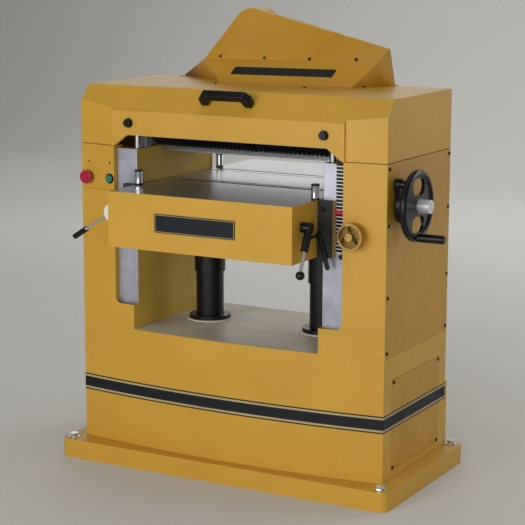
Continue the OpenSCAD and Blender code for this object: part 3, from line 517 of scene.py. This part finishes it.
def add_screws(name, body, places):
    """Domed screws with a socket, one mesh for the group."""
    work = bmesh.new()
    for point, normal in places:
        at = facing(point, normal, (0.01, 0.02, 1) if abs(normal[2]) < 0.99 else (0, 1, 0))
        work.from_mesh(outward(turned("screw", SCREW_HEAD, at, 24)))
    mesh = bpy.data.meshes.new(name)
    work.to_mesh(mesh)
    work.free()
    show(mesh, name, body, "black_paint")


# Chute: corners on the hood top, the fold across its front, and the round port behind it
CHUTE_FOOT = [(-0.184, 0.066), (0.254, 0.066), (0.300, 0.178), (0.320, 0.229), (-0.412, 0.229)]
CHUTE_FOLD = [(-0.300, 0.171, 1.189), (0.291, 0.171, 1.200)]
CHUTE_SHOULDER = (-0.327, 0.229, 1.189)
CHUTE_PEAK = [(0.302, 0.222, 1.236), (0.302, 0.229, 1.236)]
CHUTE_FLANGE = [(-0.190, 0.050), (0.262, 0.050), (0.302, 0.213), (0.330, 0.229), (-0.425, 0.229)]
PORT_X, PORT_Z, PORT_R = -0.152, 1.282, 0.0635


def tangent_angle(x, z, side):
    """Angle on the port circle where a line from (x, z) touches it."""
    across, up = x - PORT_X, z - PORT_Z
    return math.atan2(up, across) + side * math.acos(PORT_R / math.hypot(across, up))


def chute_rim(left, right, front_y):
    """The chute's top edge: round the port, then straight down to the right."""
    start = tangent_angle(left[0], left[2], -1) + 2 * math.pi
    stop = tangent_angle(right[0], right[2], 1)
    arc = []
    for step in range(21):
        angle = start + (stop - start) * step / 20
        arc.append(Vector((PORT_X + PORT_R * math.cos(angle), front_y,
                           PORT_Z + PORT_R * math.sin(angle))))
    return arc + [arc[-1].lerp(Vector(right), step / 16) for step in range(1, 17)]


def add_chute():
    """The sheet-metal chute: a folded front, its upper half swept smoothly into the port."""
    foot = [Vector((x, y, HOOD_Z)) for x, y in CHUTE_FOOT]
    fold_left, fold_right = (Vector(point) for point in CHUTE_FOLD)
    shoulder = Vector(CHUTE_SHOULDER)
    front = chute_rim(CHUTE_FOLD[0], CHUTE_PEAK[0], 0.205)
    back = chute_rim(CHUTE_SHOULDER, CHUTE_PEAK[1], CAB_REAR_Y)
    lengths = [0.0]
    for first, second in zip(front, front[1:]):
        lengths.append(lengths[-1] + (second - first).length)
    fold = [fold_left.lerp(fold_right, length / lengths[-1]) for length in lengths]
    low = [foot[0].lerp(foot[1], length / lengths[-1]) for length in lengths]
    work = bmesh.new()

    def face(*points):
        work.faces.new([work.verts.new(point) for point in points])

    for i in range(len(front) - 1):
        face(low[i], low[i + 1], fold[i + 1], fold[i])
        face(fold[i], fold[i + 1], front[i + 1], front[i])
        face(front[i], front[i + 1], back[i + 1], back[i])
    face(foot[4], foot[0], fold_left)
    face(foot[4], fold_left, shoulder)
    face(fold_left, front[0], back[0], shoulder)
    face(foot[1], foot[2], fold_right)
    face(foot[2], foot[3], fold_right)
    face(foot[3], back[-1], fold_right)
    face(fold_right, back[-1], front[-1])
    bmesh.ops.remove_doubles(work, verts=work.verts, dist=1e-6)
    rear = [e for e in work.edges if e.is_boundary and all(v.co.y > 0.2289 for v in e.verts)]
    ends = sorted((v for v in work.verts if v.co.y > 0.2289 and v.co.z < HOOD_Z + 1e-5),
                  key=lambda v: v.co.x)
    rear.append(work.edges.new((ends[0], ends[-1])))
    hole = [work.verts.new((PORT_X + (PORT_R - 0.004) * math.cos(math.radians(7.5 * i)), CAB_REAR_Y,
                            PORT_Z + (PORT_R - 0.004) * math.sin(math.radians(7.5 * i))))
            for i in range(48)]
    rear += [work.edges.new((hole[i], hole[(i + 1) % 48])) for i in range(48)]
    bmesh.ops.triangle_fill(work, edges=rear, use_beauty=True)
    bmesh.ops.recalc_face_normals(work, faces=work.faces)
    mesh = bpy.data.meshes.new("chute_skin")
    work.to_mesh(mesh)
    work.free()
    weigh_edges(mesh, 0.03)
    # The chute and its flange take side_paint, the mustard enamel darkened as painted shade
    piece = show(mesh, "chute_skin", "hood", "side_paint")
    round_edges(piece, 0.0015, 2)
    sheet = piece.modifiers.new("sheet", "SOLIDIFY")
    sheet.thickness = 0.0025
    sheet.offset = -1.0
    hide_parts("dust_chute")
    flange = prism("chute_flange", CHUTE_FLANGE, 0.0025, Matrix.Translation((0, 0, HOOD_Z)))
    flange = outward(flange)
    weigh_edges(flange, 0.03)
    round_edges(show(flange, "chute_flange", "hood", "side_paint"), 0.0006, 2)


def on_slope(share, up):
    """A point of the chute's lower panel: share across it, and up from its foot to the fold."""
    (x0, y0), (x1, y1) = CHUTE_FOOT[:2]
    low = Vector((x0, y0, HOOD_Z)).lerp(Vector((x1, y1, HOOD_Z)), share)
    return low.lerp(Vector(CHUTE_FOLD[0]).lerp(Vector(CHUTE_FOLD[1]), share), up)


def add_chute_details():
    middle = on_slope(0.475, 0.52)
    across = on_slope(0.6, 0.52) - on_slope(0.35, 0.52)
    rise = on_slope(0.475, 0.65) - on_slope(0.475, 0.4)
    normal = across.cross(rise).normalized()
    at = facing(middle + normal * 0.0006, normal, normal.cross(across))
    add_plate("chute_strip", "hood", at, (0.342, 0.037, 0.0012),
              ("navy_film", "pinstripe"), 0.0015)
    funnel = [((x, y, z), (0, -0.90, 0.43))
              for x, y, z in ((-0.244, 0.1745, 1.1990), (-0.090, 0.1745, 1.1990),
                              (0.063, 0.1745, 1.2005), (0.217, 0.1755, 1.2045))]
    flange = [((x, y, z), (0, 0, 1))
              for x, y, z in ((-0.175, 0.026, HOOD_Z), (0.123, 0.030, HOOD_Z),
                              (0.276, 0.110, HOOD_Z + 0.0025), (0.306, 0.205, HOOD_Z + 0.0025))]
    add_screws("flange_screws", "hood", flange)
    return funnel


def add_table_details():
    at = facing((-0.0097, APRON_Y - 0.0001, 0.7668), (0, -1, 0))
    add_plate("apron_plate", "table", at, (0.2606, 0.0535, 0.0016), ("navy_film", "cream_line"),
              0.0025)
    outline = [(-0.2971 + 0.026 * math.cos(a), 0.781 + 0.026 * math.sin(a))
               for a in [math.radians(90 + 180 * i / 32) for i in range(33)]]
    at = Matrix.Translation((0, -0.3520, 0)) @ Matrix.Rotation(math.radians(90), 4, "X")
    quadrant = prism("lever_quadrant", outline, 0.0015, at)
    show(outward(quadrant), "lever_quadrant", "table", "white_plate")
    knob = [(0.004, 0.0), (0.004, 0.006), (0.008, 0.0075), (0.0095, 0.012), (0.0085, 0.017),
            (0.0045, 0.0195), (0.0005, 0.020)]
    show(outward(turned("side_knob", knob, facing((-0.2968, -0.338, 0.816), (-1, 0, 0)))),
         "side_knob", "table", "black_plastic")


def add_frame_details():
    """Rings under the sleeves, button bezels, scale bolt, scale ladder and cable grommet."""
    for side, x in (("left", -SLEEVE_X), ("right", SLEEVE_X)):
        at = Matrix.Translation((x, SLEEVE_Y, DECK_Z))
        show(outward(ring(side + "_foot_ring", 0.0635, 0.0720, 0.0035, at)), side + "_foot_ring",
             "frame", "cream_paint")
    for name, x, inner, outer, slot in (("start_bezel", -0.392, 0.0114, 0.0150, "black_plastic"),
                                        ("stop_bezel", -0.473, 0.0114, 0.0158, "black_plastic")):
        slope = math.atan2(x, (CAB_HALF_W ** 2 + CAB_BOW ** 2) / (2 * CAB_BOW))
        at = facing((x, bow_y(x, 0.0002), BUTTON_Z), (math.sin(slope), -math.cos(slope), 0))
        show(outward(ring(name, inner, outer, 0.003, at)), name, "frame", slot)
    bolt = [(0.0068, 0.0), (0.0072, 0.0008), (0.0072, 0.0058), (0.0062, 0.0066), (0.0034, 0.0066),
            (0.0032, 0.0030), (0.0004, 0.0028)]
    show(outward(turned("scale_bolt", bolt, facing((0.3655, -0.2052, 0.690), (0, -1, 0)))),
         "scale_bolt", "frame", "black_paint")
    (x0, x1), (z0, z1) = LADDER_X, LADDER_Z
    ladder = prism("scale_ladder", [(x0, z0), (x1, z0), (x1, z1), (x0, z1)], 0.0010,
                   Matrix.Translation((0, WAY_Y - 0.00002, 0))
                   @ Matrix.Rotation(math.radians(90), 4, "X"))
    show(outward(ladder), "scale_ladder", "frame", "scale_plate")
    gland = ring("cable_grommet", 0.0142, 0.0200, 0.004,
                 facing((-0.5002, 0.206, 0.372), (-1, 0, 0)))
    show(outward(gland), "cable_grommet", "frame", "rubber")


# ---- studio ----
def add_floor():
    """Pale floor that curves up into a backdrop far behind."""
    profile = [(-9.0, 0.0), (6.0, 0.0)]
    profile += [(6.0 + 1.5 * math.sin(a), 1.5 - 1.5 * math.cos(a))
                for a in [math.radians(90 * i / 12) for i in range(1, 13)]]
    profile.append((7.5, 9.0))
    half = 12.0
    vertices = [(side * half, y, z) for y, z in profile for side in (-1, 1)]
    faces = [(2 * i, 2 * i + 1, 2 * i + 3, 2 * i + 2) for i in range(len(profile) - 1)]
    mesh = mesh_from("studio_floor", vertices, faces)
    for face in mesh.polygons:
        face.use_smooth = True
    floor = bpy.data.objects.new("studio_floor", mesh)
    bpy.context.scene.collection.objects.link(floor)
    mesh.materials.append(finish_material("studio_grey", colour("D9D8D4"), colour("CFCECA"), 0.85,
                                          grain=(60, 0.0002), blotch=(0.6, 0.02), wear=0.0))


def add_light(name, position, target, size, power, tint=(1, 1, 1)):
    data = bpy.data.lights.new(name, "AREA")
    data.shape = "RECTANGLE"
    data.size, data.size_y = size
    data.energy = power
    data.color = tint
    light = bpy.data.objects.new(name, data)
    light.location = position
    way = Vector(target) - Vector(position)
    light.rotation_euler = way.to_track_quat("-Z", "Y").to_euler()
    bpy.context.scene.collection.objects.link(light)


def add_studio():
    add_floor()
    add_light("key", (-0.8, -4.8, 1.5), (0, 0, 0.65), (2.4, 1.8), 78)
    add_light("camera_side", (1.9, -4.4, 1.3), (0, 0, 0.75), (1.4, 1.4), 42)
    add_light("fill", (4.8, -1.6, 1.5), (0.2, 0, 0.7), (2.0, 2.2), 3)
    add_light("top", (0.2, 0.3, 4.2), (0, 0, 0.5), (3.0, 2.4), 16)
    add_light("rear", (3.4, 4.0, 2.0), (0, 0, 0.8), (2.0, 1.8), 42)
    add_light("table_sheen", (-2.6, 4.2, 2.0), (0, 0, 0.85), (2.6, 1.8), 9)
    add_light("floor_wash", (0, 5.2, 3.6), (0, 5.0, 0), (9.0, 3.0), 105)
    world = bpy.data.worlds.new("soft_room")
    world.use_nodes = True
    world.node_tree.nodes["Background"].inputs["Color"].default_value = (1.0, 0.985, 0.96, 1)
    world.node_tree.nodes["Background"].inputs["Strength"].default_value = 0.24
    bpy.context.scene.world = world
    bpy.context.scene.view_settings.view_transform = "Standard"


def add_camera():
    azimuth, down, roll = math.radians(29.0), math.radians(10.76), math.radians(0.2)
    look = Vector((-math.sin(azimuth) * math.cos(down), math.cos(azimuth) * math.cos(down),
                   -math.sin(down)))
    data = bpy.data.cameras.new("camera")
    data.lens = 115.55
    data.sensor_width = 36.0
    data.clip_start, data.clip_end = 0.05, 60.0
    camera = bpy.data.objects.new("camera", data)
    turn = look.to_track_quat("-Z", "Y").to_matrix() @ Matrix.Rotation(roll, 3, "Z")
    camera.rotation_euler = turn.to_euler()
    camera.location = (2.3898, -4.3085, 1.5424)
    bpy.context.scene.collection.objects.link(camera)
    bpy.context.scene.camera = camera


dress_cad()
add_chute()
add_band()
add_screws("chute_screws", "hood", add_chute_details())
add_table_details()
add_frame_details()
add_studio()
add_camera()

bpy.context.view_layer.update()
